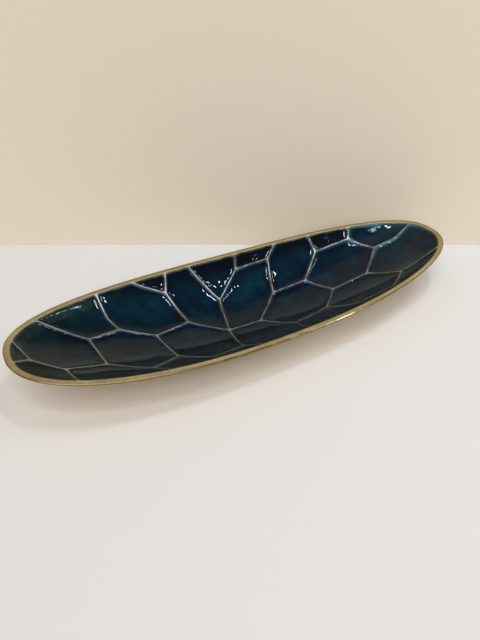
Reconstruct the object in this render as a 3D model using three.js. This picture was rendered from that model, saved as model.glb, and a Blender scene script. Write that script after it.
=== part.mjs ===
// A long boat-shaped serving tray. One metal casting forms the bowl, its flat rim and a net of raised
// ridges. The ridges fence off shallow pockets, and a separate pool of glossy enamel lies in each pocket.
// Millimetres, +Z up, +X along the tray, origin on the table under the middle of the foot.

import * as THREE from 'three';

// The casting
const LENGTH = 440; // over the rim
const WIDTH = 150; // over the rim, half-way along
const MIDDLE_HEIGHT = 35; // rim top above the table, half-way along
const END_RISE = 10.5; // how much higher the rim stands at both ends
const FULLNESS = 2.35; // outline: 2 is an ellipse, more is squarer
const TAPER = 0.048; // share of its width that the +X end loses and the -X end gains
const RIM_WIDTH = 4.5; // flat band on top of the rim
const RIM_EDGE = 2.5; // height of the rim's outer edge
const EDGE_ROUND = 1; // rounding between that band and that edge
const METAL_FLOOR = 2.4; // metal under the enamel, in the middle
const FOOT_WIDTH = 42; // flat underside, across

// The ridges and the enamel between them
const RIDGE_WIDTH = 1.8;
const CORNER_REACH = 2; // how far the rounding of a pocket's corner runs along its sides
const SEAT_GAP = 0.3; // between a pool of enamel and its pocket, all round
const ENAMEL_THICKNESS = 0.7; // in the middle of a pool, where it is thinnest
const ENAMEL_CLIMB = 0.3; // how much higher a pool stands at its edge than in its middle
const RIDGE_STAND = 0.3; // how far a ridge stands above the edge of the pools beside it

// How finely curved forms are divided
const RIM_STEPS = 84;
const UNDERSIDE_STEPS = 4;
const ROUND_STEPS = 2;
const LONGEST_STEP = 18;

// Where ridges meet the rim, as angles round the outline: far side, then near side
const RIM_ENDS = {
  f1: 15, f2: 49, f3: 65, f4: 76, f5: 87, f6: 97, f7: 103, f8: 113, f9: 124, f10: 149, f11: 167,
  n1: 184, n2: 218, n3: 245, n4: 256, n5: 266, n6: 273, n7: 290, n8: 302, n9: 336,
};

// Where ridges meet or bend inside, as shares of the bowl's half-length and half-width
const JOINS = {
  j1: [-0.94, -0.07], j2: [-0.84, -0.3], j3: [-0.71, 0.23], j4: [-0.69, -0.29], j5: [-0.575, 0.34],
  j6: [-0.55, -0.59], j7: [-0.445, 0.14], j8: [-0.42, -0.385], j9: [-0.32, -0.735], j10: [-0.315, 0.735],
  j11: [-0.28, 0.265], j12: [-0.175, -0.64], j13: [-0.14, -0.085], j14: [-0.09, 0.48], j15: [0.015, -0.09],
  j16: [0.05, 0.815], j17: [0.115, -0.465], j18: [0.165, 0.335], j19: [0.23, 0.825], j20: [0.3, -0.4],
  j21: [0.345, 0.33], j22: [0.37, -0.71], j23: [0.415, -0.065], j24: [0.475, 0.675], j25: [0.56, -0.79],
  j26: [0.605, -0.095], j27: [0.665, 0.635], j28: [0.7, -0.485], j29: [0.745, 0.275],
  bend_left: [-0.605, 0.53], bend_right: [0.87, 0.235],
};

// The cells of the net, each by its corners, counter-clockwise from above
const CELLS = {
  left_tip: 'f11 n1 j1',
  left_bed: 'f10 f11 j1 j2 j4 j3',
  near_1: 'n1 n2 j2 j1',
  near_2: 'n2 n3 j6 j4 j2',
  near_3: 'n3 n4 j9 j8 j6',
  near_4: 'n4 n5 j12 j9',
  near_5: 'n5 n6 j17 j15 j13 j12',
  near_6: 'n6 n7 j22 j20 j17',
  near_7: 'n7 n8 j25 j22',
  near_8: 'n8 n9 j28 j25',
  far_1: 'f9 f10 j3 j5 bend_left',
  far_2: 'f8 f9 bend_left j5 j7 j11 j10',
  far_3: 'f7 f8 j10',
  far_4: 'f6 f7 j10 j11 j13 j14',
  far_5: 'f5 f6 j14 j16',
  far_6: 'f4 f5 j16 j19',
  far_7: 'f3 f4 j19 j18 j21 j24',
  far_8: 'f2 f3 j24 j27',
  far_9: 'f1 f2 j27 j29 bend_right',
  right_bed: 'n9 f1 bend_right j29 j26 j28',
  bed_1: 'j5 j3 j4 j6 j8 j7',
  bed_2: 'j11 j7 j8 j9 j12 j13',
  bed_3: 'j14 j13 j15 j18 j19 j16',
  bed_4: 'j18 j15 j17 j20 j23 j21',
  bed_5: 'j24 j21 j23 j26 j29 j27',
  bed_6: 'j23 j20 j22 j25 j28 j26',
};

// Sizes that follow from those above
const halfLength = LENGTH / 2;
const halfWidth = WIDTH / 2;
const bowlHalfLength = halfLength - RIM_WIDTH;
const bowlHalfWidth = halfWidth - RIM_WIDTH;
const pocketDepth = SEAT_GAP + ENAMEL_THICKNESS + ENAMEL_CLIMB + RIDGE_STAND;
const floorHeight = METAL_FLOOR + pocketDepth;
const bowlDepth = MIDDLE_HEIGHT - floorHeight;
const edgeFoot = MIDDLE_HEIGHT - RIM_EDGE;
const footShare = (FOOT_WIDTH / WIDTH) ** 2;
const footSink = edgeFoot * footShare / (1 - footShare);

// The half-width at x, as a share of the half-width in the middle
const narrowing = (x) => 1 - TAPER * x / halfLength;

// How much the tray is lifted at x, towards its upswept ends
const sheer = (x) => END_RISE * (x / halfLength) ** 2;

// A point of the tray's plan, given by shares of a half-length and a half-width
function planPoint(alongShare, acrossShare, reachAlong, reachAcross) {
  const x = alongShare * reachAlong;
  return new THREE.Vector2(x, acrossShare * reachAcross * narrowing(x));
}

// A point at an angle on the outline that has the given half-length and half-width
function outlinePoint(angle, reachAlong, reachAcross) {
  const cosine = Math.cos(angle);
  const sine = Math.sin(angle);
  const power = 2 / FULLNESS;
  const along = Math.sign(cosine) * Math.abs(cosine) ** power;
  const across = Math.sign(sine) * Math.abs(sine) ** power;
  return planPoint(along, across, reachAlong, reachAcross);
}

// The height of the ridge tops: a smooth bowl that runs up to the rim's inner edge
function ridgeTop(x, y) {
  const along = Math.abs(x / bowlHalfLength);
  const across = Math.abs(y / (bowlHalfWidth * narrowing(x)));
  const wayOut = (along ** FULLNESS + across ** FULLNESS) ** (1 / FULLNESS);
  return floorHeight + bowlDepth * wayOut ** 2 + sheer(x);
}

// Gathers rings of points into one closed surface. Rings run counter-clockwise from above.
class Skin {
  constructor() {
    this.places = [];
    this.triangles = [];
  }

  ring(points) {
    return points.map((point) => {
      this.places.push(point.x, point.y, point.z);
      return this.places.length / 3 - 1;
    });
  }

  triangle(a, b, c, turned) {
    this.triangles.push(a, ...(turned ? [c, b] : [b, c]));
  }

  // Joins two rings. The band faces up where the first ring lies outside the second, or down if turned.
  band(first, second, turned = false) {
    first.forEach((corner, i) => {
      const next = (i + 1) % first.length;
      this.triangle(corner, first[next], second[next], turned);
      this.triangle(corner, second[next], second[i], turned);
    });
  }

  // Closes a ring with a fan that faces up, or down if turned.
  fan(ring, centre, turned = false) {
    const [tip] = this.ring([centre]);
    ring.forEach((corner, i) => {
      this.triangle(corner, ring[(i + 1) % ring.length], tip, turned);
    });
  }

  geometry() {
    const geometry = new THREE.BufferGeometry();
    geometry.setAttribute('position', new THREE.Float32BufferAttribute(this.places, 3));
    geometry.setIndex(this.triangles);
    geometry.computeVertexNormals();
    return geometry;
  }
}

// Moves a counter-clockwise outline inwards, each side staying parallel to itself
function inset(points, distance) {
  const inward = (from, to) => {
    const side = to.clone().sub(from).normalize();
    return new THREE.Vector2(-side.y, side.x);
  };
  return points.map((point, i) => {
    const before = inward(points.at(i - 1), point);
    const after = inward(point, points[(i + 1) % points.length]);
    const mitre = distance / (1 + before.dot(after));
    return point.clone().addScaledVector(before.add(after), mitre);
  });
}

// The corners of a cell: ridge joins, and the stretch of rim between two ends of ridges
function cellCorners(cell) {
  const names = cell.split(' ');
  const points = [];
  const sharp = [];
  const add = (point, isSharp) => {
    points.push(point);
    sharp.push(isSharp);
  };
  const rimPoint = (angle) => outlinePoint(angle, bowlHalfLength, bowlHalfWidth);
  const step = 2 * Math.PI / RIM_STEPS;
  names.forEach((name, i) => {
    const next = names[(i + 1) % names.length];
    if (name in JOINS) {
      add(planPoint(...JOINS[name], bowlHalfLength, bowlHalfWidth), true);
      return;
    }
    const start = THREE.MathUtils.degToRad(RIM_ENDS[name]);
    add(rimPoint(start), true);
    if (next in RIM_ENDS) {
      const turn = THREE.MathUtils.degToRad((RIM_ENDS[next] - RIM_ENDS[name] + 360) % 360);
      const pieces = Math.ceil(turn / step);
      for (let k = 1; k < pieces; k += 1) {
        add(rimPoint(start + turn * k / pieces), false);
      }
    }
  });
  return { points, sharp };
}

// The outline of a cell's pocket: half a ridge inside the cell, with rounded corners
function pocketOutline(cell) {
  const { points, sharp } = cellCorners(cell);
  const corners = inset(points, RIDGE_WIDTH / 2);
  const rounded = corners.flatMap((corner, i) => {
    if (!sharp[i]) {
      return [corner];
    }
    const reachTo = (neighbour) => {
      const share = Math.min(CORNER_REACH / corner.distanceTo(neighbour), 0.4);
      return corner.clone().lerp(neighbour, share);
    };
    const start = reachTo(corners.at(i - 1));
    const end = reachTo(corners[(i + 1) % corners.length]);
    return new THREE.QuadraticBezierCurve(start, corner, end).getPoints(ROUND_STEPS);
  });
  return rounded.flatMap((point, i) => {
    const next = rounded[(i + 1) % rounded.length];
    const pieces = Math.ceil(point.distanceTo(next) / LONGEST_STEP);
    return Array.from({ length: pieces }, (_, k) => point.clone().lerp(next, k / pieces));
  });
}

const middleOf = (outline) => outline
  .reduce((sum, point) => sum.add(point), new THREE.Vector2())
  .divideScalar(outline.length);

// How many rings the surfaces in and over a pocket need, so that they lie parallel
function ringCount(pocket) {
  const middle = middleOf(pocket);
  const reach = Math.max(...pocket.map((point) => point.distanceTo(middle)));
  return Math.ceil(reach / LONGEST_STEP);
}

// Rings from an outline to its middle, each with the height that a function of place and share gives
function nestedRings(outline, count, heightAt) {
  const middle = middleOf(outline);
  const lift = (point, share) => new THREE.Vector3(point.x, point.y, heightAt(point.x, point.y, share));
  const rings = [];
  for (let k = count; k > 0; k -= 1) {
    rings.push(outline.map((point) => lift(middle.clone().lerp(point, k / count), k / count)));
  }
  return { rings, centre: lift(middle, 0) };
}

const pocketFloor = (x, y) => ridgeTop(x, y) - pocketDepth;
const poolUnderside = (x, y) => pocketFloor(x, y) + SEAT_GAP;
const poolTop = (x, y, share) => ridgeTop(x, y) - RIDGE_STAND - ENAMEL_CLIMB * (1 - share ** 2);

// The casting: rim, underside and foot, then the net of ridges, then the pockets between them
function castingGeometry(pockets) {
  const skin = new Skin();
  const angles = Array.from({ length: RIM_STEPS }, (_, i) => 2 * Math.PI * i / RIM_STEPS);
  const rimRing = (narrower, drop) => skin.ring(angles.map((angle) => {
    const point = outlinePoint(angle, halfLength - narrower, halfWidth - narrower);
    return new THREE.Vector3(point.x, point.y, MIDDLE_HEIGHT + sheer(point.x) - drop);
  }));

  const mouth = rimRing(RIM_WIDTH, 0);
  let last = mouth;
  const wrap = (ring) => {
    skin.band(ring, last);
    last = ring;
  };
  const edgeSteps = 2 * ROUND_STEPS;
  for (let k = 0; k <= edgeSteps; k += 1) {
    const turn = Math.PI / 2 * k / edgeSteps;
    wrap(rimRing(EDGE_ROUND * (1 - Math.sin(turn)), EDGE_ROUND * (1 - Math.cos(turn))));
  }
  for (let k = UNDERSIDE_STEPS; k >= 0; k -= 1) {
    wrap(skin.ring(angles.map((angle) => undersidePoint(angle, k / UNDERSIDE_STEPS))));
  }
  skin.fan(last, new THREE.Vector3(), true);

  const mouthOutline = angles.map((angle) => outlinePoint(angle, bowlHalfLength, bowlHalfWidth));
  const brinks = pockets.map((pocket) => skin.ring(
    pocket.map((point) => new THREE.Vector3(point.x, point.y, ridgeTop(point.x, point.y)))));
  const netCorners = [mouth, ...brinks].flat();
  THREE.ShapeUtils.triangulateShape(mouthOutline, pockets).forEach((face) => {
    skin.triangles.push(...face.map((corner) => netCorners[corner]));
  });

  pockets.forEach((pocket, i) => {
    const { rings, centre } = nestedRings(pocket, ringCount(pocket), pocketFloor);
    const floorRings = rings.map((ring) => skin.ring(ring));
    [brinks[i], ...floorRings].reduce((outer, inner) => {
      skin.band(outer, inner);
      return inner;
    });
    skin.fan(floorRings.at(-1), centre);
  });
  return skin.geometry();
}

// A point of the rounded underside, from the edge of the flat foot (share 0) to the rim's edge (share 1)
function undersidePoint(angle, share) {
  const edge = outlinePoint(angle, halfLength, halfWidth);
  const footEdge = Math.sqrt(footSink / (edgeFoot + footSink + sheer(edge.x)));
  const wayOut = THREE.MathUtils.lerp(footEdge, 1, share);
  const x = wayOut * edge.x;
  const y = wayOut * edge.y * narrowing(x) / narrowing(edge.x);
  const height = (edgeFoot + footSink) * wayOut ** 2 - footSink + sheer(x);
  return new THREE.Vector3(x, y, share === 0 ? 0 : height);
}

// One pool of enamel, clear of its pocket all round, with a top that climbs towards the ridges
function poolGeometry(pocket) {
  const skin = new Skin();
  const outline = inset(pocket, SEAT_GAP);
  const count = ringCount(pocket);
  const below = nestedRings(outline, count, poolUnderside);
  const above = nestedRings(outline, count, poolTop);
  const lower = below.rings.map((ring) => skin.ring(ring));
  const upper = above.rings.map((ring) => skin.ring(ring));
  for (let k = 1; k < lower.length; k += 1) {
    skin.band(lower[k - 1], lower[k], true);
    skin.band(upper[k - 1], upper[k]);
  }
  skin.fan(lower.at(-1), below.centre, true);
  skin.fan(upper.at(-1), above.centre);
  skin.band(lower[0], upper[0]);
  return skin.geometry();
}

function namedMesh(name, geometry, finish) {
  const mesh = new THREE.Mesh(geometry, new THREE.MeshStandardMaterial(finish));
  mesh.name = name;
  return mesh;
}

const goldMetal = { color: 0xa8925f, metalness: 1, roughness: 0.4 };
const tealEnamel = { color: 0x0d2b3d, metalness: 0, roughness: 0.08 };

const outlines = Object.entries(CELLS).map(([name, cell]) => ({ name, pocket: pocketOutline(cell) }));
const tray = new THREE.Group();
tray.name = 'serving_tray';
tray.add(namedMesh('tray_casting', castingGeometry(outlines.map(({ pocket }) => pocket)), goldMetal));
outlines.forEach(({ name, pocket }) => {
  tray.add(namedMesh(`enamel_${name}`, poolGeometry(pocket), tealEnamel));
});

export default tray;
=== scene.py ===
# %% [markdown]
# # A boat-shaped serving tray with enamel between raised ridges
# The tray is one metal casting: a long shallow bowl with a flat gold rim, and a net of thin ridges that
# stands up from its inside. Each cell of the net holds a pool of dark blue-green enamel, which is glass
# melted onto metal. The solid model is loaded first and stays as it is, so that every finer piece made
# here has a fixed place to go to.

# %% Load the solid model
import math

import bmesh
import bpy
from mathutils import Matrix, Vector, noise


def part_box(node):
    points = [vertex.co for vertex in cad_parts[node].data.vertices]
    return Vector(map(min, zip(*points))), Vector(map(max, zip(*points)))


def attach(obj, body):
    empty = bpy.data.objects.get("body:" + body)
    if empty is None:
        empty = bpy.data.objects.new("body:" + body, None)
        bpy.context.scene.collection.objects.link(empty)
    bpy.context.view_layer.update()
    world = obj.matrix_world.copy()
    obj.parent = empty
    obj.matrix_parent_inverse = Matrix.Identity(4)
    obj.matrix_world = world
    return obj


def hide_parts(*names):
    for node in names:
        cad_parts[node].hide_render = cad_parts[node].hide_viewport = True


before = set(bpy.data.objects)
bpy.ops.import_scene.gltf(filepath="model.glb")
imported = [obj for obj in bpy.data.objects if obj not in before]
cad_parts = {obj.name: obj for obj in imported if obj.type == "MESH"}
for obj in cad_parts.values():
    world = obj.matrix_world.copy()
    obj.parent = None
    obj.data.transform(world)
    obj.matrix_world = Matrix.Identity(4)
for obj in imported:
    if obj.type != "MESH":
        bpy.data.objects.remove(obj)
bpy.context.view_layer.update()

# %% [markdown]
# ## Sizes
# A form like this is easiest to keep consistent when a few driving sizes give everything else. The outline
# is a superellipse: fuller than an ellipse, blunt at the ends, and a little narrower towards +X. The rim
# rises towards both ends like the sheer of a boat. All sizes are in metres.

# %% Driving sizes
casting_low, casting_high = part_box("tray_casting")
half_length = (casting_high[0] - casting_low[0]) / 2
HALF_WIDTH = 0.075
MIDDLE_HEIGHT = 0.035
END_RISE = 0.0105
FULLNESS = 2.35
TAPER = 0.048
RIM_WIDTH = 0.0045
RIM_EDGE = 0.0025
FLOOR_HEIGHT = 0.004
FOOT_WIDTH = 0.042
RIDGE_WIDTH = 0.0018
POCKET_DEPTH = 0.002

bowl_half_length = half_length - RIM_WIDTH
bowl_half_width = HALF_WIDTH - RIM_WIDTH
bowl_depth = MIDDLE_HEIGHT - FLOOR_HEIGHT
edge_foot = MIDDLE_HEIGHT - RIM_EDGE
print("half length", round(half_length, 4), "bowl depth", round(bowl_depth, 4))

# %% [markdown]
# ## The outline in the plan
# Seen from above, the tray is described by how much it has narrowed at a place along its length, and by
# where its outline runs at an angle. Pieces are drawn flat in this plan first and lifted onto the bowl
# later, because flat outlines are far simpler to shrink, round and fill.

# %% Formulas of the plan
def narrowing(x):
    return 1 - TAPER * x / half_length


def signed_power(value, power):
    return math.copysign(abs(value) ** power, value)


def plan_point(along, across, inward=RIM_WIDTH):
    """A place in the plan, by its shares of the half-length and half-width inside the outer edge."""
    x = along * (half_length - inward)
    return Vector((x, across * (HALF_WIDTH - inward) * narrowing(x), 0))


def outline_point(angle, inward=RIM_WIDTH):
    along = signed_power(math.cos(angle), 2 / FULLNESS)
    across = signed_power(math.sin(angle), 2 / FULLNESS)
    return plan_point(along, across, inward)


def outline_angle(point):
    """The angle at which a point of the plan lies, as outline_point takes it."""
    along = signed_power(point.x / bowl_half_length, FULLNESS / 2)
    across = signed_power(point.y / (bowl_half_width * narrowing(point.x)), FULLNESS / 2)
    return math.atan2(across, along)


print("mouth of the bowl:", 2 * outline_point(0).x, "by", 2 * outline_point(math.pi / 2).y)

# %% [markdown]
# ## The height over the plan
# The inside of a bowl like this rises evenly from its middle to its rim, so one number is enough to know
# how high it stands over any point of the plan: how far out the point lies. The sheer of the boat is
# added on top. The slope comes from two tiny steps, which saves working out a derivative by hand.

# %% Formulas of the height
TINY_STEP = 0.0001


def sheer(x):
    return END_RISE * (x / half_length) ** 2


def way_out(x, y):
    """0 in the middle of the bowl, 1 at the inner edge of the rim."""
    along = abs(x / bowl_half_length) ** FULLNESS
    across = abs(y / (bowl_half_width * narrowing(x))) ** FULLNESS
    return (along + across) ** (1 / FULLNESS)


def ridge_top(x, y):
    return FLOOR_HEIGHT + bowl_depth * way_out(x, y) ** 2 + sheer(x)


def lifted(point, drop=0.0):
    return Vector((point.x, point.y, ridge_top(point.x, point.y) - drop))


def gradient(height, point):
    """How fast a height over the plan changes at a point."""
    here = height(point.x, point.y)
    return math.hypot(height(point.x + TINY_STEP, point.y) - here,
                      height(point.x, point.y + TINY_STEP) - here) / TINY_STEP


def from_rim(point):
    return (1 - way_out(point.x, point.y)) / gradient(way_out, point)


print("slope of the wall at its top:", round(gradient(ridge_top, outline_point(math.pi / 2)), 2))

# %% [markdown]
# ## The net of ridges
# The ridges make an irregular net, like the plates of a tortoise shell. Each could be drawn as a curve of
# its own, but then neighbouring cells would easily get out of step. So the map is written as named places:
# where ridges run into the rim, as angles round the outline, and where they meet or bend inside, as shares
# of the bowl's half-length and half-width. A cell is a list of names, counter-clockwise from above, and
# cells that share a ridge share its names.

# %% Map of the net
RIM_ENDS = {
    "f1": 15, "f2": 49, "f3": 65, "f4": 76, "f5": 87, "f6": 97, "f7": 103, "f8": 113, "f9": 124, "f10": 149,
    "f11": 167, "n1": 184, "n2": 218, "n3": 245, "n4": 256, "n5": 266, "n6": 273, "n7": 290, "n8": 302,
    "n9": 336,
}
JOINS = {
    "j1": (-0.94, -0.07), "j2": (-0.84, -0.3), "j3": (-0.71, 0.23), "j4": (-0.69, -0.29),
    "j5": (-0.575, 0.34), "j6": (-0.55, -0.59), "j7": (-0.445, 0.14), "j8": (-0.42, -0.385),
    "j9": (-0.32, -0.735), "j10": (-0.315, 0.735), "j11": (-0.28, 0.265), "j12": (-0.175, -0.64),
    "j13": (-0.14, -0.085), "j14": (-0.09, 0.48), "j15": (0.015, -0.09), "j16": (0.05, 0.815),
    "j17": (0.115, -0.465), "j18": (0.165, 0.335), "j19": (0.23, 0.825), "j20": (0.3, -0.4),
    "j21": (0.345, 0.33), "j22": (0.37, -0.71), "j23": (0.415, -0.065), "j24": (0.475, 0.675),
    "j25": (0.56, -0.79), "j26": (0.605, -0.095), "j27": (0.665, 0.635), "j28": (0.7, -0.485),
    "j29": (0.745, 0.275), "bend_left": (-0.605, 0.53), "bend_right": (0.87, 0.235),
}
CELLS = {
    "left_tip": "f11 n1 j1",
    "left_bed": "f10 f11 j1 j2 j4 j3",
    "near_1": "n1 n2 j2 j1",
    "near_2": "n2 n3 j6 j4 j2",
    "near_3": "n3 n4 j9 j8 j6",
    "near_4": "n4 n5 j12 j9",
    "near_5": "n5 n6 j17 j15 j13 j12",
    "near_6": "n6 n7 j22 j20 j17",
    "near_7": "n7 n8 j25 j22",
    "near_8": "n8 n9 j28 j25",
    "far_1": "f9 f10 j3 j5 bend_left",
    "far_2": "f8 f9 bend_left j5 j7 j11 j10",
    "far_3": "f7 f8 j10",
    "far_4": "f6 f7 j10 j11 j13 j14",
    "far_5": "f5 f6 j14 j16",
    "far_6": "f4 f5 j16 j19",
    "far_7": "f3 f4 j19 j18 j21 j24",
    "far_8": "f2 f3 j24 j27",
    "far_9": "f1 f2 j27 j29 bend_right",
    "right_bed": "n9 f1 bend_right j29 j26 j28",
    "bed_1": "j5 j3 j4 j6 j8 j7",
    "bed_2": "j11 j7 j8 j9 j12 j13",
    "bed_3": "j14 j13 j15 j18 j19 j16",
    "bed_4": "j18 j15 j17 j20 j23 j21",
    "bed_5": "j24 j21 j23 j26 j29 j27",
    "bed_6": "j23 j20 j22 j25 j28 j26",
}
print("cells:", len(CELLS), "joins:", len(JOINS), "ridge ends on the rim:", len(RIM_ENDS))

# %% [markdown]
# ## The corners of a cell
# A cell is bounded by the middle lines of its ridges, and some cells also by a stretch of the rim, which is
# followed in small steps. A little noise lets the lines wander, because such ridges are carved by hand in
# the pattern for the casting. It is seeded, so that every run draws the same lines. Points on the rim stay
# exactly on it, so that net and rim join without a gap.

# %% Corners
RIM_STEP = math.radians(2.5)
WANDER = 0.0005
WANDER_SCALE = 60
WANDER_SEED = 1
CALM_RIM = 0.07
ON_THE_RIM = 0.999

noise.seed_set(WANDER_SEED)


def cell_corners(cell):
    names = cell.split()
    corners = []
    for name, following in zip(names, names[1:] + names[:1]):
        if name in JOINS:
            corners.append(plan_point(*JOINS[name]))
            continue
        start = math.radians(RIM_ENDS[name])
        corners.append(outline_point(start))
        if following in RIM_ENDS:
            turn = math.radians((RIM_ENDS[following] - RIM_ENDS[name]) % 360)
            pieces = math.ceil(turn / RIM_STEP)
            corners += [outline_point(start + turn * step / pieces) for step in range(1, pieces)]
    return corners


def settled(point):
    """Puts a point of the rim exactly on it, and lets any other point wander."""
    out = way_out(point.x, point.y)
    if out > ON_THE_RIM:
        return outline_point(outline_angle(point))
    shift = noise.noise_vector(point * WANDER_SCALE) * WANDER * min((1 - out) / CALM_RIM, 1)
    return point + Vector((shift.x, shift.y, 0))


print("corners of all cells:", sum(len(cell_corners(cell)) for cell in CELLS.values()))

# %% [markdown]
# ## The line round each cell
# A ridge needs points along its way before it can wander and follow the bowl. A scratch mesh finds them:
# the cell is one flat face, and `subdivide_edges` puts points along its sides, which is simpler than
# measuring out every side by hand.

# %% Cell lines
POINT_SPACING = 0.001


def flat_face(cell):
    bm = bmesh.new()
    face = bm.faces.new([bm.verts.new(corner) for corner in cell_corners(cell)])
    face.normal_update()
    return bm, face


def fine_outline(bm):
    """Divides the sides of a scratch mesh's only face and returns the points of its outline."""
    bmesh.ops.delete(bm, geom=bm.faces[:], context="FACES_ONLY")
    sides = {}
    for edge in bm.edges:
        sides.setdefault(math.ceil(edge.calc_length() / POINT_SPACING) - 1, []).append(edge)
    for cuts, edges in sides.items():
        if cuts:
            bmesh.ops.subdivide_edges(bm, edges=edges, cuts=cuts)
    face = bmesh.ops.contextual_create(bm, geom=bm.edges[:])["faces"][0]
    face.normal_update()
    if face.normal.z < 0:
        face.normal_flip()
    return [loop.vert for loop in face.loops]


def cell_outline(cell):
    bm, _ = flat_face(cell)
    outline = [settled(vert.co) for vert in fine_outline(bm)]
    bm.free()
    return outline


cell_lines = {name: cell_outline(cell) for name, cell in CELLS.items()}
print("points on cell lines:", sum(len(line) for line in cell_lines.values()))

# %% [markdown]
# ## The outline of each pocket
# The pocket of a cell is half a ridge smaller all round and has rounded corners, as a tool leaves them.
# Working that out by hand is tedious, so the scratch mesh does it too: `inset_individual` shrinks the face,
# a vertex `bevel` rounds its corners, and `smooth_vert` takes the stiffness out of the finer outline.

# %% Pocket outlines
CORNER_REACH = 0.0022
CORNER_STEPS = 4
SHARP_TURN = math.radians(15)
SMOOTHING_ROUNDS = 2


def pocket_outline(cell):
    bm, face = flat_face(cell)
    rest = bmesh.ops.inset_individual(bm, faces=[face], thickness=RIDGE_WIDTH / 2, use_even_offset=True)
    bmesh.ops.delete(bm, geom=rest["faces"], context="FACES")
    sharp = [loop.vert for loop in face.loops if math.pi - loop.calc_angle() > SHARP_TURN]
    bmesh.ops.bevel(bm, geom=sharp, offset=CORNER_REACH, segments=CORNER_STEPS, profile=0.5,
                    affect="VERTICES", material=-1, clamp_overlap=True)
    verts = fine_outline(bm)
    for _ in range(SMOOTHING_ROUNDS):
        bmesh.ops.smooth_vert(bm, verts=verts, factor=0.5, use_axis_x=True, use_axis_y=True)
    outline = [settled(vert.co) for vert in verts]
    bm.free()
    return outline


outlines = {name: pocket_outline(cell) for name, cell in CELLS.items()}
print("points on pocket outlines:", sum(len(outline) for outline in outlines.values()))

# %% [markdown]
# ## Growing a surface ring by ring
# Rim, ridge sides, underside and pools are all skins that grow from one closed ring to the next. In Blender
# that is an edge extrusion: `extrude_edge_only` copies a ring and joins both with faces, and the copy is
# moved to its new places. A ring that has shrunk to nothing is closed by merging it to a point. The points
# of a ring can be marked with a number, which a finish reads later. An extrusion copies the marks too, so a
# ring is marked again where the number changes.

# %% Ring tools
def ring_of(bm, places):
    ring = [bm.verts.new(place) for place in places]
    for first, second in zip(ring, ring[1:] + ring[:1]):
        bm.edges.new((first, second))
    return ring


def ring_edges(bm, ring):
    return [bm.edges.get(pair) for pair in zip(ring, ring[1:] + ring[:1])]


def grown(bm, ring, places):
    made = bmesh.ops.extrude_edge_only(bm, edges=ring_edges(bm, ring))["geom"]
    fresh = {item for item in made if isinstance(item, bmesh.types.BMVert)}
    copies = [next(edge.other_vert(vert) for edge in vert.link_edges if edge.other_vert(vert) in fresh)
              for vert in ring]
    for vert, place in zip(copies, places):
        vert.co = place
    return copies


def closed(bm, ring, tip):
    bmesh.ops.pointmerge(bm, verts=grown(bm, ring, [tip] * len(ring)), merge_co=tip)


def marked(ring, layer, mark):
    for vert in ring:
        vert[layer] = mark
    return ring


def middle_of(points):
    return sum(points, Vector()) / len(points)


def spread(outline, distance):
    """A flat counter-clockwise outline, moved outwards by a distance."""
    moved = []
    for before, point, after in zip(outline[-1:] + outline[:-1], outline, outline[1:] + outline[:1]):
        along = (after - before).normalized()
        moved.append(point + Vector((along.y, -along.x, 0)) * distance)
    return moved


print("middle of the pocket bed_3:", middle_of(outlines["bed_3"]))

# %% [markdown]
# ## From a bmesh to a finished piece
# Each piece stands for one solid of the model, so it rides on the same body, replaces that solid and takes
# its finishes. Its place is in the points of its mesh, and the object itself stays at the origin. Doubles
# are merged before the normals are recalculated, because a seam that is still open can turn faces inside
# out.

# %% Finished pieces
MERGE_DISTANCE = 1e-7


def finished_piece(name, bm, node, materials, faceted=None):
    """Turns a bmesh into an object, smooth-shaded apart from one material that keeps flat facets."""
    bmesh.ops.remove_doubles(bm, verts=bm.verts[:], dist=MERGE_DISTANCE)
    bmesh.ops.recalc_face_normals(bm, faces=bm.faces[:])
    mesh = bpy.data.meshes.new(name)
    for face in bm.faces:
        face.smooth = face.material_index != faceted
    bm.to_mesh(mesh)
    bm.free()
    for material in materials:
        mesh.materials.append(material)
    piece = bpy.data.objects.new(name, mesh)
    bpy.context.collection.objects.link(piece)
    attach(piece, "root")
    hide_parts(node)
    return piece


print("solids to replace:", len(CELLS) + 1, "of", len(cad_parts))

# %% [markdown]
# ## Writing shaders as sums
# A material is a tree of small nodes, and most of them only add, subtract or multiply numbers. They could
# be placed and linked one by one, but wrapping a socket in a class with `+`, `-` and `*` lets a material
# read like the formula it is.

# %% Values in sums
class Value:
    """The output of a node, usable in sums with numbers and other outputs."""

    def __init__(self, tree, socket):
        self.tree = tree
        self.socket = socket

    def combined(self, operation, first, second):
        return self.tree.node("ShaderNodeMath", {"operation": operation}, {0: first, 1: second})

    def __add__(self, other):
        return self.combined("ADD", self, other)

    def __radd__(self, other):
        return self.combined("ADD", other, self)

    def __sub__(self, other):
        return self.combined("SUBTRACT", self, other)

    def __rsub__(self, other):
        return self.combined("SUBTRACT", other, self)

    def __mul__(self, other):
        return self.combined("MULTIPLY", self, other)

    def __rmul__(self, other):
        return self.combined("MULTIPLY", other, self)


print("reflected sums:", [name for name in vars(Value) if name.startswith("__r")])

# %% [markdown]
# ## One method for every other node
# Every other node comes from one method that takes its type, its settings and its inputs. A material and
# the world both hold such a tree, so the method lives in a class of its own.

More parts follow.
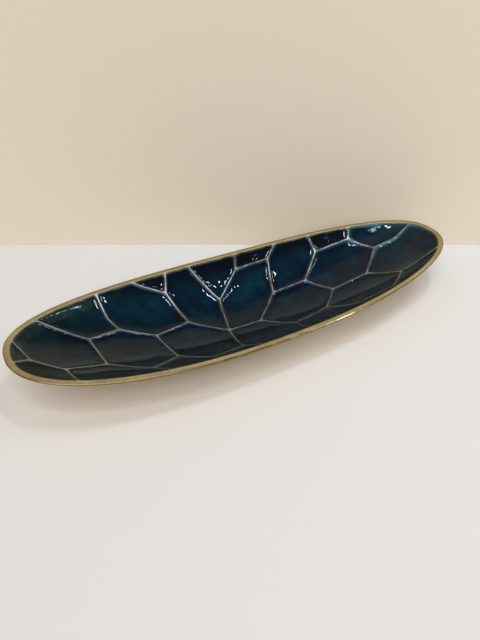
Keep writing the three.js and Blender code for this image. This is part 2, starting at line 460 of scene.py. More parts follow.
# %% Node trees
class NodeTree:
    """Adds nodes to a material or a world."""

    def __init__(self, owner):
        owner.use_nodes = True
        self.tree = owner.node_tree

    def node(self, kind, settings=None, inputs=None, output=0):
        made = self.tree.nodes.new(kind)
        for setting, value in (settings or {}).items():
            if setting == "stops":
                self.set_stops(made.color_ramp, value)
            else:
                setattr(made, setting, value)
        for key, value in (inputs or {}).items():
            self.feed(made.inputs[key], value)
        return Value(self, made.outputs[output])

    def set_stops(self, color_ramp, stops):
        while len(color_ramp.elements) < len(stops):
            color_ramp.elements.new(1.0)
        for element, (position, color) in zip(color_ramp.elements, stops):
            element.position = position
            element.color = color

    def feed(self, socket, value):
        if isinstance(value, Value):
            self.tree.links.new(value.socket, socket)
        else:
            socket.default_value = value


print("node tree methods:", [name for name in vars(NodeTree) if not name.startswith("_")])

# %% [markdown]
# ## A finish
# A finish is a material round one Principled shader, with short names for the nodes that are used again
# and again: places on the piece, noise, ramps from one number to another, mixed colours and bumps.

# %% Finishes
class Finish(NodeTree):
    """A material made of nodes around one Principled shader."""

    def __init__(self, name, **constants):
        self.material = bpy.data.materials.new(name)
        super().__init__(self.material)
        self.shader = self.tree.nodes["Principled BSDF"]
        for socket, value in constants.items():
            self.shader.inputs[socket.replace("_", " ")].default_value = value

    def drive(self, socket, value):
        self.feed(self.shader.inputs[socket], value)

    def places(self, stretch=(1, 1, 1), turn=0.0):
        """Object coordinates, stretched and then turned about Z."""
        coordinates = self.node("ShaderNodeTexCoord", output="Object")
        return self.node("ShaderNodeMapping", {"vector_type": "POINT"},
                         {"Vector": coordinates, "Rotation": (0, 0, turn), "Scale": stretch})

    def coordinate(self, axis):
        return self.node("ShaderNodeSeparateXYZ", None, {0: self.places()}, axis)

    def noise(self, places, scale, detail=3.0, roughness=0.5):
        return self.node("ShaderNodeTexNoise", {"noise_dimensions": "3D"},
                         {"Vector": places, "Scale": scale, "Detail": detail, "Roughness": roughness})

    def ramp(self, value, low, high, start=0.0, end=1.0):
        """Eases from start to end while a value goes from low to high."""
        return self.node("ShaderNodeMapRange", {"interpolation_type": "SMOOTHSTEP"},
                         {"Value": value, "From Min": low, "From Max": high, "To Min": start, "To Max": end})

    def blend(self, share, first, second):
        """Mixes two colours: the first where the share is 0, the second where it is 1."""
        return self.node("ShaderNodeMix", {"data_type": "RGBA"}, {0: share, 6: first, 7: second}, 2)

    def attribute(self, name):
        return self.node("ShaderNodeAttribute", {"attribute_name": name}, output="Fac")

    def bump(self, height, distance, strength):
        self.drive("Normal", self.node("ShaderNodeBump", None,
                                       {"Strength": strength, "Distance": distance, "Height": height}))


print("finish methods:", [name for name in vars(Finish) if not name.startswith("_")])

# %% [markdown]
# ## Gold for the rim
# The rim is satin gold metal: ground flat, then lacquered. Its grinding marks are fine and run along the
# tray. A picture of brushed metal could give them, but a noise that is squeezed in one direction has no
# seam. The same noise feeds colour, roughness and bump, so that a mark is a real groove and not only a
# line of paint. The gold turns dark brown in broken flecks towards the outer edge, where the mesh marks
# it, and it is painted darker and greyer at the back and to the right, as painted shade.

# %% Rim finish
MARKS_TURN = math.radians(38)
GROOVE_DEPTH = 0.00008
SHADED_BACK = (-0.06, 0.06)
WORN_GOLD = (0.65, 0.49, 0.20, 1)
CLEAN_GOLD = (0.80, 0.63, 0.30, 1)
GROUND_GOLD = (0.87, 0.74, 0.43, 1)
FLECK_BROWN = (0.42, 0.31, 0.12, 1)
BACK_PAINTED_SHADE = (0.105, 0.105, 0.078, 1)
RIM_DARK_BROWN = (0.11, 0.075, 0.03, 1)


def gold_rim():
    finish = Finish("gold_rim", Metallic=1.0)
    marks = finish.noise(finish.places((1, 14, 1), MARKS_TURN), scale=420, detail=4)
    flecks = finish.noise(finish.places((1, 3, 1), MARKS_TURN), scale=330, roughness=0.6)
    clouds = finish.noise(finish.places(), scale=45, detail=4, roughness=0.6)
    worn = finish.blend(finish.ramp(clouds, 0.35, 0.7), WORN_GOLD, CLEAN_GOLD)
    streaked = finish.blend(finish.ramp(marks, 0.42, 0.66, 0.0, 0.6), worn, GROUND_GOLD)
    flecked = finish.blend(finish.ramp(flecks, 0.5, 0.68, 0.0, 0.5), streaked, FLECK_BROWN)
    # Painted shade: darker and greyer at the back and to the right.
    backwards = finish.coordinate("Y") + 0.3 * finish.coordinate("X")
    back_shaded = finish.blend(finish.ramp(backwards, *SHADED_BACK, 0.0, 0.45), flecked, BACK_PAINTED_SHADE)
    # Dark brown in broken flecks where the mesh marks the rim.
    darkening = finish.ramp(finish.attribute("edge") + 1.2 * flecks, 1.2, 1.7, 0.0, 0.45)
    finish.drive("Base Color", finish.blend(darkening, back_shaded, RIM_DARK_BROWN))
    finish.drive("Roughness", 0.34 + 0.16 * clouds + 0.14 * marks)
    finish.bump(0.7 * marks + 0.3 * flecks, GROOVE_DEPTH, strength=0.6)
    return finish.material


rim_gold = gold_rim()
print("rim finish:", len(rim_gold.node_tree.nodes), "nodes")

# %% [markdown]
# ## Gold for the rim's edge
# The outer edge of the rim is rubbed by hands and cloths, so parts of it are polished and flash in the
# light while others stay satin. Towards the left it is painted dark brown, as painted shade. Its facets
# could be faked with a bump, but they are made in the mesh, where they flash from every side. So the
# finish only needs one noise for the wear.

# %% Edge finish
SHADED_LEFT = (-0.02, 0.08)
EDGE_SHADE = (0.22, 0.17, 0.085, 1)
EDGE_GOLD = (0.44, 0.36, 0.21, 1)
EDGE_PAINTED_SHADE = (0.10, 0.08, 0.045, 1)


def gold_edge():
    finish = Finish("gold_edge", Metallic=1.0)
    wear = finish.noise(finish.places(), scale=120, roughness=0.6)
    worn = finish.blend(wear, EDGE_SHADE, EDGE_GOLD)
    # Painted shade: the edge is darkened towards the left.
    darkening = finish.ramp(finish.coordinate("X"), *SHADED_LEFT, 0.55, 0.0)
    finish.drive("Base Color", finish.blend(darkening, worn, EDGE_PAINTED_SHADE))
    finish.drive("Roughness", finish.ramp(wear, 0.35, 0.65, 0.08, 0.3))
    return finish.material


edge_gold = gold_edge()
print("edge finish:", len(edge_gold.node_tree.nodes), "nodes")

# %% [markdown]
# ## Pale gold for the ridges
# The ridges were wiped clean of enamel before firing, but a thin film of glass stays on them. It makes the
# gold pale and greyish with darker patches. Towards the left the gold is painted paler still, as painted
# light. The film could be a mesh of its own, but a coat of half strength gives the same gloss. It thickens
# down the sides of a ridge, so the mesh marks the sides and the finish tints them dark green.

# %% Ridge finish
LIT_LEFT = (-0.12, 0.02)
PITTING = 0.00008
FILM_DARK = (0.12, 0.135, 0.112, 1)
FILM_PALE = (0.37, 0.39, 0.35, 1)
PAINTED_LIGHT_GOLD = (0.62, 0.65, 0.58, 1)
GLAZED_SIDE = (0.05, 0.065, 0.04, 1)


def gold_ridges():
    finish = Finish("gold_ridges", Metallic=1.0, Coat_Weight=0.5, Coat_Roughness=0.08)
    patches = finish.noise(finish.places(), scale=140, detail=4, roughness=0.65)
    grain = finish.noise(finish.places(), scale=1500, detail=2)
    tone = finish.blend(finish.ramp(patches, 0.38, 0.62), FILM_DARK, FILM_PALE)
    # Painted light: the ridges are painted paler towards the left.
    leftwards = finish.ramp(finish.coordinate("X"), *LIT_LEFT, 0.4, 0.0)
    pale = finish.blend(leftwards, tone, PAINTED_LIGHT_GOLD)
    glazed = finish.ramp(finish.attribute("edge") + 0.3 * patches, 0.35, 0.9)
    finish.drive("Base Color", finish.blend(glazed, pale, GLAZED_SIDE))
    finish.drive("Roughness", 0.22 + 0.26 * patches)
    finish.bump(0.6 * patches + 0.4 * grain, PITTING, strength=0.5)
    return finish.material


ridge_gold = gold_ridges()
print("ridge finish:", len(ridge_gold.node_tree.nodes), "nodes")

# %% [markdown]
# ## Satin gold for the underside
# Nobody polishes the underside of a tray. It keeps the fine sandy skin of the mould under the gold. Grains
# that small would be far too many to model, so a bump stands for them, and a slow noise lets the tone
# drift. Just below the rim, in the undercut, it is painted dark brown as painted shade, and again the
# mesh marks where.

# %% Underside finish
SAND_DEPTH = 0.00014
SATIN_GOLD = (0.47, 0.355, 0.14, 1)
BRIGHT_SATIN = (0.63, 0.495, 0.22, 1)
UNDERCUT_PAINTED_SHADE = (0.14, 0.10, 0.05, 1)


def gold_underside():
    finish = Finish("gold_underside", Metallic=1.0)
    sand = finish.noise(finish.places(), scale=900, roughness=0.6)
    flow = finish.noise(finish.places(), scale=35, detail=5, roughness=0.6)
    tone = finish.blend(finish.ramp(flow, 0.3, 0.75), SATIN_GOLD, BRIGHT_SATIN)
    # Painted shade: the undercut just below the rim is painted dark brown.
    darkening = finish.ramp(finish.attribute("edge") + 0.6 * flow, 0.5, 1.2, 0.0, 0.85)
    finish.drive("Base Color", finish.blend(darkening, tone, UNDERCUT_PAINTED_SHADE))
    finish.drive("Roughness", 0.38 + 0.2 * flow)
    finish.bump(0.75 * sand + 0.25 * flow, SAND_DEPTH, strength=0.5)
    return finish.material


underside_gold = gold_underside()
print("underside finish:", len(underside_gold.node_tree.nodes), "nodes")

# %% [markdown]
# ## Enamel
# Enamel is coloured glass over bright metal. Light goes through it, is thrown back by the metal and comes
# out tinted, so it glows where it faces a lamp and is nearly black elsewhere. It could be modelled as
# layers of real glass, but a tinted metal under a clear glossy coat behaves the same way and is far
# quicker to render. Melted glass is never quite even, so two slow noises stand for its clouds and drifts.

# %% Enamel
DRIFTS_TURN = math.radians(-25)

enamel = Finish("blue_green_enamel", Coat_Roughness=0.02, Coat_IOR=1.27, Metallic=1.0)
clouds = enamel.noise(enamel.places(), scale=38, roughness=0.55)
drifts = enamel.noise(enamel.places((1, 1.6, 1), DRIFTS_TURN), scale=70)
print("enamel nodes:", len(enamel.tree.nodes))

# %% [markdown]
# ## Open glass
# In the middle of a pool the glass is an even layer, deep blue with drifts of lighter teal, and greener
# towards the left end. The teal is also painted stronger away from the shore, as a painted glow in the
# middle of each pool. Clouds are darker, because the glass is thicker there, and the corners near the
# shores are darkened with painted shade. A picture for each pool would be hard to paint, so each colour
# is laid over the one before, with a share that ramps work out. For that, every point of a pool stores
# how far it lies from its shore, in millimetres.

# %% Open glass
LEFT_END = (-0.2, -0.05)
OPEN_REACH = (1.5, 13.0)
SHADED_REACH = (1.0, 7.0)
OPEN_BLUE = (0.003, 0.015, 0.034, 1)
LIT_TEAL = (0.004, 0.032, 0.048, 1)
LEFT_GREEN = (0.005, 0.027, 0.026, 1)
DEEP_SHADE = (0.003, 0.006, 0.014, 1)
CORNER_SHADE = (0.006, 0.004, 0.013, 1)

shore = enamel.attribute("shore")
along = enamel.coordinate("X")
left = 1 - enamel.ramp(along, *LEFT_END)
# Painted glow: the teal grows from the shore towards the middle of each pool.
lit = enamel.ramp(shore, *OPEN_REACH) * enamel.ramp(drifts, 0.30, 0.72)
hue = enamel.blend(lit, OPEN_BLUE, LIT_TEAL)
greener = enamel.blend(0.55 * left, hue, LEFT_GREEN)
deep = enamel.blend(enamel.ramp(clouds, 0.36, 0.6, 0.6, 0.0), greener, DEEP_SHADE)
# Painted shade in the corners near the shores.
corners = (1 - enamel.ramp(shore, *SHADED_REACH)) * enamel.ramp(clouds, 0.42, 0.56, 0.7, 0.0)
dark = enamel.blend(corners, deep, CORNER_SHADE)
print("enamel nodes:", len(enamel.tree.nodes))

# %% [markdown]
# ## Steep walls
# On the steep walls the glass turns away from the light, so it is painted nearly black there, as painted
# shade. The slope could be read from the normal, but that also follows every swell of the glass, so each
# point stores the slope of the bowl instead. The walls at the right count as a little steeper and get
# more of this painted shade.

# %% Steep walls
WALL_SLOPES = (0.68, 0.92)
RIGHT_WALLS = (0.08, 0.12)
STEEPER_BY = 0.12
STEEP_WALL_SHADE = (0.003, 0.005, 0.009, 1)

slope = enamel.attribute("steep")
# Painted shade: steep walls, more so at the right, are painted nearly black.
right_walls = enamel.ramp(along, *RIGHT_WALLS, 0.0, STEEPER_BY)
steep = enamel.ramp(slope + 0.2 * drifts + right_walls, *WALL_SLOPES)
walled = enamel.blend(0.9 * steep, dark, STEEP_WALL_SHADE)
print("enamel nodes:", len(enamel.tree.nodes))

# %% [markdown]
# ## Shores
# Where the glass climbs a ridge it grows thin, and the metal shines through olive. On the far shores in
# the far half of the tray, which face the viewer, a blue painted highlight takes its place. At the far right
# these shores get a turquoise painted glare, with a wider painted glow beside them. Being near a shore
# doesn't tell which shore it is, so each point also stores on which side of its pool it lies.

# %% Shores
FAR_HALF = (-0.025, 0.0)
RIGHT_END = (0.12, 0.17)
FAR_OF_MIDDLE = (-0.01, 0.01)
SHORE_REACH = (0.5, 2.2)
GLOW_REACH = (1.0, 5.0)
NEAR_SHORE_OLIVE = (0.05, 0.058, 0.02, 1)
FAR_SHORE_HIGHLIGHT_BLUE = (0.018, 0.06, 0.13, 1)
SHORE_GLARE_TURQUOISE = (0.09, 0.20, 0.23, 1)

side = enamel.attribute("side")
across = enamel.coordinate("Y")
far_half = enamel.ramp(across, *FAR_HALF)
ragged_shore = shore + 0.8 * drifts
shallow = 1 - enamel.ramp(ragged_shore, *SHORE_REACH)
# Painted highlight: blue on the far shores in the far half, which face the viewer.
facing = enamel.ramp(side, -0.4, 0.5) * far_half
shore_hue = enamel.blend(facing, NEAR_SHORE_OLIVE, FAR_SHORE_HIGHLIGHT_BLUE)
# Painted glare and glow: turquoise on the far shores at the far right, and beside them.
far_right = enamel.ramp(along, *RIGHT_END) * enamel.ramp(across, *FAR_OF_MIDDLE)
glare = enamel.ramp(side, 0.1, 0.7) * far_right
shore_glare = enamel.blend(0.8 * glare, shore_hue, SHORE_GLARE_TURQUOISE)
shored = enamel.blend(0.75 * shallow, walled, shore_glare)
glow = glare * (1 - enamel.ramp(ragged_shore, *GLOW_REACH))
print("enamel nodes:", len(enamel.tree.nodes))

# %% [markdown]
# ## Towards the rim
# The glass also thins out towards the rim, into a broad band of green on the far wall, and the left tip is
# olive. An even stripe would look painted, so clouds and drifts break the band up. Each point stores how
# far it lies from the rim, in millimetres. The turquoise glow goes over the green, because it is light and
# not glass.

# %% Rim side
RIM_BAND = (-2.5, 6.0)
TIP_ALONG = (-0.215, -0.18)
TIP_ACROSS = (0.0, 0.02)
RIM_GREEN = (0.013, 0.038, 0.031, 1)
GLOW_TURQUOISE = (0.03, 0.14, 0.17, 1)
TIP_OLIVE = (0.05, 0.04, 0.01, 1)

brim = enamel.attribute("brim")
near_rim = 1 - enamel.ramp(brim - 7.0 * drifts - 6.0 * left, *RIM_BAND)
cloudy = enamel.ramp(clouds + 0.1 * left, 0.38, 0.54)
rimward = near_rim * far_half * cloudy * (1 - steep)
thin = enamel.blend(0.6 * rimward, shored, RIM_GREEN)
# Painted glow over the green.
glowing = enamel.blend(0.7 * glow, thin, GLOW_TURQUOISE)
tip = (1 - enamel.ramp(along, *TIP_ALONG)) * (1 - enamel.ramp(across, *TIP_ACROSS))
tipped = enamel.blend(0.5 * tip, glowing, TIP_OLIVE)
print("enamel nodes:", len(enamel.tree.nodes))

# %% [markdown]
# ## Specks and amber
# Wherever the glass is thin, specks of gold show through, and in the last millimetres before the rim it is
# so thin that it looks amber. Specks could be tiny pieces of metal, but nobody would see their shape, so
# a fine grain is enough. It also makes the border of the amber ragged.

# %% Specks and amber
AMBER_REACH = (1.7, 3.2)
GOLD_SPECK = (0.40, 0.40, 0.24, 1)
AMBER = (0.32, 0.23, 0.08, 1)

grain = enamel.noise(enamel.places(), scale=1300, roughness=0.6)
specks = enamel.ramp(grain, 0.58, 0.66) * enamel.ramp(shallow + rimward, 0.35, 1.1)
speckled = enamel.blend(0.45 * specks, tipped, GOLD_SPECK)
ragged_brim = brim + 0.8 * grain + 2.0 * drifts
amber = (1 - enamel.ramp(ragged_brim, *AMBER_REACH)) * (1 - 0.8 * glare)
enamel.drive("Base Color", enamel.blend(amber, speckled, AMBER))
print("enamel nodes:", len(enamel.tree.nodes))

# %% [markdown]
# ## Gloss of the enamel
# The clear coat is what mirrors the room. It is weaker on the near wall and at the left tip, where the
# glass is a little dull, and full everywhere else. The tinted metal under it is rough, so that only the
# coat gives sharp glints.

# %% Gloss
NEAR_HALF = (-0.02, 0.0)
NEAR_WALL_REACH = (8.0, 26.0)

near_wall = (1 - enamel.ramp(across, *NEAR_HALF)) * (1 - enamel.ramp(brim, *NEAR_WALL_REACH))
enamel.drive("Roughness", 0.5 + 0.2 * grain)
enamel.drive("Coat Weight", 1 - 0.55 * near_wall - 0.3 * tip)
print("enamel nodes:", len(enamel.tree.nodes))

# %% [markdown]
# ## Places on the rim and the underside
# Seen in section, the rim is flat on top, has a narrow facet along its outer edge and is undercut below
# it. From there the underside curves in like a bowl and ends in a flat foot. `spin` could turn such a
# section into a round tray, but this one isn't round, so each place is worked out from its angle. The
# facet is dented here and there, as on any tray that has been used. The dents turn it this way and that,
# and so a lamp makes broken glints along it.

# %% Rim and underside places
FACET_DROP = 0.0005
DENT = 0.0001
DENT_SCALE = 65

foot_share = (FOOT_WIDTH / (2 * HALF_WIDTH)) ** 2
foot_sink = edge_foot * foot_share / (1 - foot_share)


def rim_place(angle, inward, drop=0.0):
    point = outline_point(angle, inward)
    return Vector((point.x, point.y, MIDDLE_HEIGHT + sheer(point.x) - drop))


def facet_place(angle):
    """The lower side of the facets along the rim's edge."""
    dent = DENT * (1 - noise.noise(outline_point(angle, 0) * DENT_SCALE))
    return rim_place(angle, dent, FACET_DROP)


def underside_place(angle, share):
    """From the rim's lower edge (share 1) to the edge of the flat foot (share 0)."""
    edge = outline_point(angle, 0)
    foot_edge = math.sqrt(foot_sink / (edge_foot + foot_sink + sheer(edge.x)))
    out = foot_edge + (1 - foot_edge) * share
    x = out * edge.x
    height = (edge_foot + foot_sink) * out ** 2 - foot_sink + sheer(x)
    return Vector((x, out * edge.y * narrowing(x) / narrowing(edge.x), max(height, 0)))


print("foot:", 2 * underside_place(0, 0).x, "by", 2 * underside_place(math.pi / 2, 0).y)

# %% [markdown]
# ## The net and its pockets
# The ridges are one piece with the bowl. They could be strips laid onto it, but a casting shows no seams.
# So the flat strip between the line of each cell and its pocket is filled with `triangle_fill`, which
# copes with an outline that has a hole, and the strips of all cells, merged, are the top of the net. Each
# hole then grows rounded ridge sides, a wall and a floor under the enamel.

# %% Net and pockets
SEAM = 1e-6
CREST_SPREAD = 0.00058
# Each ring down a ridge's side: its distance outside the pocket, its drop, and how far glass covers it.
RIDGE_SIDE = ((0.00044, 0.00004, 0.3), (0.00026, 0.00018, 1), (0.0001, 0.0004, 1), (0.0, 0.0007, 1))
FLOOR_SHARES = (1.0, 0.75, 0.5, 0.25)


def fill_net(bm):
    """Fills the strips of the net and returns the ring round each pocket."""
    crests = {}
    for name, outline in outlines.items():
        line = ring_of(bm, cell_lines[name])
        crests[name] = ring_of(bm, spread(outline, CREST_SPREAD))
        edges = ring_edges(bm, line) + ring_edges(bm, crests[name])
        bmesh.ops.triangle_fill(bm, edges=edges, use_beauty=True, normal=(0, 0, 1))
    bmesh.ops.remove_doubles(bm, verts=bm.verts[:], dist=SEAM)
    return crests


def mouth_of(bm):
    """The ring of points on the inner edge of the rim, in the order of their angles."""
    mouth = [vert for vert in bm.verts if way_out(vert.co.x, vert.co.y) > ON_THE_RIM]
    return sorted(mouth, key=lambda vert: outline_angle(vert.co))


def sink_pocket(bm, ring, outline, edge):
    for distance, drop, glaze in RIDGE_SIDE:
        places = [lifted(point, drop) for point in spread(outline, distance)]
        ring = marked(grown(bm, ring, places), edge, glaze)
    middle = middle_of(outline)
    for share in FLOOR_SHARES:
        ring = grown(bm, ring, [lifted(middle.lerp(point, share), POCKET_DEPTH) for point in outline])
    closed(bm, ring, lifted(middle, POCKET_DEPTH))


print("rings in a pocket:", len(RIDGE_SIDE) + len(FLOOR_SHARES))

# %% [markdown]
# ## Rings of the rim and the underside
# From the mouth of the bowl, rings run over the flat rim, round its edge, through the undercut and down
# the underside, and end in the flat foot. Faces could be picked for a finish by their place afterwards, but
# it is simpler to do it as soon as they are made: the newest ones are those without a finish.

# %% Rim and underside rings
RIM, EDGE, RIDGES, UNDERSIDE = range(4)
LIP = 0.0008
# Each ring over the rim: how far it lies inside the outer edge, and whether the gold is darkened there.
RIM_TOP = ((RIM_WIDTH - LIP, 0.0), (0.0019, 0.0), (0.0013, 1.0), (0.0008, 1.0), (0.0006, 0.0))
UNDERCUT = 0.0012
UNDERCUT_SHARES = (0.5, 1)
UNDERSIDE_RINGS = 22


def paint_rest(bm, painted, index):
    """Gives a finish to the faces that have none yet."""
    fresh = [face for face in bm.faces if face not in painted]
    for face in fresh:
        face.material_index = index
    painted.update(fresh)


def grow_rim(bm, ring, angles, edge, painted):
    for inward, darkening in RIM_TOP:
        ring = marked(grown(bm, ring, [rim_place(angle, inward) for angle in angles]), edge, darkening)
    paint_rest(bm, painted, RIM)
    ring = grown(bm, ring, [facet_place(angle) for angle in angles])
    paint_rest(bm, painted, EDGE)
    return ring


def grow_underside(bm, ring, angles, edge, painted):
    # The undercut rings are marked for the underside's painted shade.
    for share in UNDERCUT_SHARES:
        places = [rim_place(angle, share * UNDERCUT, share * RIM_EDGE) for angle in angles]
        ring = marked(grown(bm, ring, places), edge, 1.0)
    for step in reversed(range(UNDERSIDE_RINGS)):
        places = [underside_place(angle, step / UNDERSIDE_RINGS) for angle in angles]
        ring = marked(grown(bm, ring, places), edge, 0.0)
    closed(bm, ring, Vector())
    paint_rest(bm, painted, UNDERSIDE)


print("rings from mouth to foot:", len(RIM_TOP) + 1 + len(UNDERCUT_SHARES) + UNDERSIDE_RINGS)

# %% [markdown]
# ## The casting
# Bowl, rim and ridges are poured as one piece of metal. They could be modelled one by one and joined, but
# growing everything from the net, whose outermost ring is the mouth of the bowl, makes one closed skin with
# no seam to hide. The strip of the net right beside the rim takes the rim's finish.

# %% Casting
def make_casting():
    bm = bmesh.new()
    edge = bm.verts.layers.float.new("edge")
    painted = set()
    crests = fill_net(bm)
    mouth = mouth_of(bm)
    angles = [outline_angle(vert.co) for vert in mouth]
    for vert in bm.verts:
        vert.co = lifted(vert.co)
    for name, outline in outlines.items():
        sink_pocket(bm, crests[name], outline, edge)
    paint_rest(bm, painted, RIDGES)
    for face in painted:
        if from_rim(face.calc_center_median()) < RIDGE_WIDTH / 2:
            face.material_index = RIM
    ring = grow_rim(bm, mouth, angles, edge, painted)
    grow_underside(bm, ring, angles, edge, painted)
    finishes = (rim_gold, edge_gold, ridge_gold, underside_gold)
    return finished_piece("casting", bm, "tray_casting", finishes, faceted=EDGE)


casting = make_casting()
print("casting:", len(casting.data.polygons), "faces")

# %% [markdown]
# ## The top of a pool
# Molten enamel creeps up whatever it touches, so each pool dips from its shore to a nearly even level, with
# a slight unevenness left from the firing. It creeps higher in some places than in others. That curved,
# uneven shore is what catches small, broken lamp reflections beside the ridges, so it is made as a shape
# and not as a bump.

# %% Top of a pool
SHORE_DROP = 0.00007
CREEP = ((0.0006, 0.0022), (0.0003, 0.0005))
CREEP_CHANGE = 0.8
CREEP_SCALE = 230
DISH_SHARE = 0.035
DEEPEST_DISH = 0.0007
SWELLS = ((0.00013, 90), (0.00003, 260))


def pool_place(middle, point, share):
    """A point of a pool's top, with its distance from the shore."""
    place = middle.lerp(point, share)
    reach = (point - middle).length
    from_shore = reach * (1 - share)
    uneven = 1 + CREEP_CHANGE * noise.noise(point * CREEP_SCALE)
    creep = sum(depth * (1 - math.exp(-from_shore / (length * uneven))) for depth, length in CREEP)
    dish = min(DISH_SHARE * reach, DEEPEST_DISH) * (1 - share ** 2)
    swell = sum(height * noise.noise(place * scale) for height, scale in SWELLS)
    swell *= min(from_shore / CREEP[0][1], 1)
    return lifted(place, SHORE_DROP + creep + swell + dish), from_shore


print("deepest creep of the enamel:", sum(depth for depth, _ in CREEP))

# %% [markdown]
# ## The pools of enamel
# A pool is a closed piece of glass. Its rings shrink from the shore to the middle, close together at first,
# where the surface bends most, and then its underside closes it. Every point also gets the four numbers
# that the enamel's finish reads.

# %% Pools
MILLIMETRES = 1000
SHORE_SPREAD = 0.00042
POOL_SHARES = (0.993, 0.984, 0.972, 0.957, 0.937, 0.91, 0.87, 0.82,
               0.76, 0.68, 0.59, 0.48, 0.37, 0.25, 0.12)
UNDER_SHARES = (0.97, 0.7, 0.4)
UNDER_DROP = 0.0018


def make_pool(name, outline):
    bm = bmesh.new()
    shore = bm.verts.layers.float.new("shore")
    brim = bm.verts.layers.float.new("brim")
    steep = bm.verts.layers.float.new("steep")
    side = bm.verts.layers.float.new("side")
    middle = middle_of(outline)
    first = ring_of(bm, [lifted(point, SHORE_DROP) for point in spread(outline, SHORE_SPREAD)])
    ring = first
    for share in (1.0, *POOL_SHARES):
        spots = [pool_place(middle, point, share) for point in outline]
        ring = grown(bm, ring, [place for place, _ in spots])
        for vert, (_, from_shore) in zip(ring, spots):
            vert[shore] = from_shore * MILLIMETRES
    tip, _ = pool_place(middle, outline[0], 0.0)
    closed(bm, ring, tip)
    ring = first
    for share in UNDER_SHARES:
        ring = grown(bm, ring, [lifted(middle.lerp(point, share), UNDER_DROP) for point in outline])
    closed(bm, ring, lifted(middle, UNDER_DROP))
    reach = max((point - middle).length for point in outline)
    for vert in bm.verts:
        # The tiny height keeps this from being zero over the middle.
        outwards = Vector((vert.co.x - middle.x, vert.co.y - middle.y, TINY_STEP))
        vert[side] = outwards.normalized().y
        vert[brim] = from_rim(vert.co) * MILLIMETRES
        vert[steep] = gradient(ridge_top, vert.co)
        if (vert.co - tip).length < reach * POOL_SHARES[-1] / 2:
            vert[shore] = reach * MILLIMETRES
    return finished_piece("pool_" + name, bm, "enamel_" + name, (enamel.material,))


pools = [make_pool(name, outline) for name, outline in outlines.items()]
print("pools:", len(pools), "faces:", sum(len(pool.data.polygons) for pool in pools))

# %% [markdown]
# ## Camera
# The camera stands where the photograph was taken from: about half a metre away, in front and to the left,
# looking down and turned to the right, with the rather wide lens of a phone. Its focal length was found in
# pixels, and Blender gives a lens in millimetres of a sensor, so one is turned into the other.

# %% Camera
CAMERA_PLACE = (-0.2114, -0.3513, 0.3076)
LOOKING_DOWN = math.radians(36.8)
TURNED = math.radians(-29.11)
FOCAL_PIXELS = 530
PICTURE_HEIGHT = 640
SENSOR = 36
NEAREST = 0.01

camera = bpy.data.cameras.new("camera")
camera.sensor_width = SENSOR
camera.lens = SENSOR * FOCAL_PIXELS / PICTURE_HEIGHT
camera.clip_start = NEAREST
viewer = bpy.data.objects.new("camera", camera)
viewer.location = CAMERA_PLACE
viewer.rotation_euler = (math.pi / 2 - LOOKING_DOWN, 0, TURNED)
bpy.context.collection.objects.link(viewer)
bpy.context.scene.camera = viewer
bpy.context.scene.view_settings.view_transform = "Standard"
print("lens:", round(camera.lens, 2), "mm")

# %% [markdown]
# ## Paper for the studio
# Floor and backdrop are matt pale paper, and a slow noise keeps them from looking like flat fills. Both
# are seen from their front only, so that neither hides the tray from another side. Level enamel mirrors
# the backdrop and looks hazy. A wall grows dim towards its top, so in mirrors the backdrop is fainter and
# fades out upwards.

# %% Paper finish
CLOUD_SCALE = 3
FADE_HEIGHTS = (0.17, 0.23)
FAINTNESS = 0.3
WHITES = ((0.84, 0.79, 0.755, 1), (0.86, 0.81, 0.775, 1))
CREAMS = ((0.765, 0.68, 0.56, 1), (0.775, 0.695, 0.575, 1))


def paper(name, tones, faint_in_mirrors=False):
    """A matt colour that can't be seen from behind."""
    finish = Finish(name, Roughness=0.6)
    cloud = finish.noise(finish.places(), CLOUD_SCALE, detail=2)
    finish.drive("Base Color", finish.blend(cloud, *tones))
    hidden = finish.node("ShaderNodeNewGeometry", output="Backfacing")
    if faint_in_mirrors:
        watched = finish.node("ShaderNodeLightPath", output="Is Camera Ray")
        fading = finish.ramp(finish.coordinate("Z"), *FADE_HEIGHTS, FAINTNESS, 1.0)
        hidden = hidden + (1 - watched) * fading
    clear = finish.node("ShaderNodeBsdfTransparent")
    front = Value(finish, finish.shader.outputs[0])
    seen = finish.node("ShaderNodeMixShader", None, {0: hidden, 1: front, 2: clear})
    finish.feed(finish.tree.nodes["Material Output"].inputs["Surface"], seen)
    return finish.material


white_paper = paper("white_paper", WHITES)
cream_paper = paper("cream_paper", CREAMS, faint_in_mirrors=True)
print("papers:", white_paper.name, cream_paper.name)

# %% [markdown]
# ## Floor and backdrop
# Two flat sheets are enough: a wide floor, and a low backdrop close behind the tray that stands square to
# the view. A curved sheet could join them, but the photograph shows a straight line between the two. The
# backdrop casts no shadow and lends no colour to dull surfaces, so that the light on the tray doesn't
# change with it.

# %% Stage
STAGE_REACH = 6.0
BACKDROP_MIDDLE = (0.0615, 0.1388)
BACKDROP_HEIGHT = 0.27


def stage_sheet(name, material, size, turn, place):
    """A flat sheet, made lying on the ground, then turned and put in its place."""
    bm = bmesh.new()
    bmesh.ops.create_grid(bm, x_segments=1, y_segments=1, size=1)
    bmesh.ops.scale(bm, verts=bm.verts[:], vec=(size[0], size[1], 1))
    bmesh.ops.rotate(bm, verts=bm.verts[:], cent=(0, 0, 0), matrix=turn)
    bmesh.ops.translate(bm, verts=bm.verts[:], vec=place)
    mesh = bpy.data.meshes.new(name)
    bm.to_mesh(mesh)
    bm.free()
    mesh.materials.append(material)
    sheet = bpy.data.objects.new(name, mesh)
    bpy.context.collection.objects.link(sheet)
    return sheet


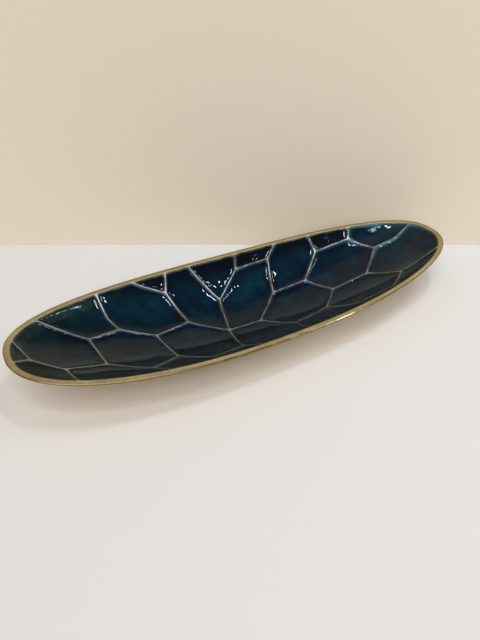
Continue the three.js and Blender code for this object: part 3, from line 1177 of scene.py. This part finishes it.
stage_sheet("floor", white_paper, (STAGE_REACH, STAGE_REACH), Matrix.Identity(3), (0, 0, 0))
upright = Matrix.Rotation(TURNED, 3, "Z") @ Matrix.Rotation(math.pi / 2, 3, "X")
backdrop = stage_sheet("backdrop", cream_paper, (STAGE_REACH, BACKDROP_HEIGHT / 2), upright,
                       (*BACKDROP_MIDDLE, BACKDROP_HEIGHT / 2))
backdrop.visible_diffuse = False
backdrop.visible_shadow = False

# %% [markdown]
# ## Surroundings
# Glass and metal mostly show what stands around them. The room is pale near the horizon and dim overhead,
# so that tilted enamel mirrors the dim part and stays deep blue. A colour ramp over the height of the
# direction gives that with three nodes.

# %% Surroundings
SURROUNDINGS = (
    (0.0, (0.50, 0.48, 0.45, 1)),
    (0.45, (0.30, 0.30, 0.29, 1)),
    (0.78, (0.05, 0.05, 0.055, 1)),
    (1.0, (0.03, 0.03, 0.035, 1)),
)

world = bpy.data.worlds.new("studio")
sky = NodeTree(world)
direction = sky.node("ShaderNodeTexCoord", output="Generated")
height = sky.node("ShaderNodeSeparateXYZ", None, {0: direction}, "Z")
shade = sky.node("ShaderNodeValToRGB", {"stops": SURROUNDINGS}, {"Fac": height})
sky.feed(sky.tree.nodes["Background"].inputs["Color"], shade)
bpy.context.scene.world = world
print("stops of the surroundings:", len(SURROUNDINGS))

# %% [markdown]
# ## Lamps
# Two broad lights from far away give the soft light and the pale shadow: a strong one from the viewer's
# side and a weak one from the left. The other lamps are small and cool. They hang where the curved shores
# of the pools mirror them and the middles of the cells don't, so that their glints fall beside the ridges.
# The edge light hangs far out in front and to the right, for the dented facets of the near rim.

# %% Lamps
TUBE_COLOR = (0.82, 0.93, 1.0)
SOFT_COLOR = (1.0, 0.97, 0.93)
SOFT_BREADTH = 60


def add_lamp(name, kind, color, power):
    light = bpy.data.lights.new(name, kind)
    light.color = color
    light.energy = power
    lamp = bpy.data.objects.new(name, light)
    bpy.context.collection.objects.link(lamp)
    return light, lamp


def hang_tube(name, place, size, power, turn=0.0):
    """A small bright lamp that faces straight down."""
    light, lamp = add_lamp(name, "AREA", TUBE_COLOR, power)
    light.shape = "RECTANGLE"
    light.size, light.size_y = size
    lamp.location = place
    lamp.rotation_euler.z = math.radians(turn)


def far_light(name, direction, strength):
    """A broad light from far away, which is equally strong everywhere."""
    light, lamp = add_lamp(name, "SUN", SOFT_COLOR, strength)
    light.angle = math.radians(SOFT_BREADTH)
    lamp.rotation_euler = Vector(direction).to_track_quat("Z", "Y").to_euler()


hang_tube("tube_right", place=(1.25, -0.1, 1.7), size=(0.03, 0.3), power=4)
hang_tube("tube_middle", place=(0.35, -0.1, 1.7), size=(0.03, 0.3), power=4.2)
hang_tube("tube_far", place=(0.92, -0.1, 1.7), size=(0.02, 0.12), power=1.2)
hang_tube("tube_left", place=(-0.32, -0.57, 1.7), size=(0.7, 0.012), power=3, turn=-28)
hang_tube("edge_light", place=(1.5, -1.65, 1.5), size=(0.5, 0.5), power=8)
far_light("soft_left", direction=(-0.45, 0.2, 1.0), strength=0.5)
far_light("soft_front", direction=(-0.5, -0.85, 1.0), strength=1.6)

# %% [markdown]
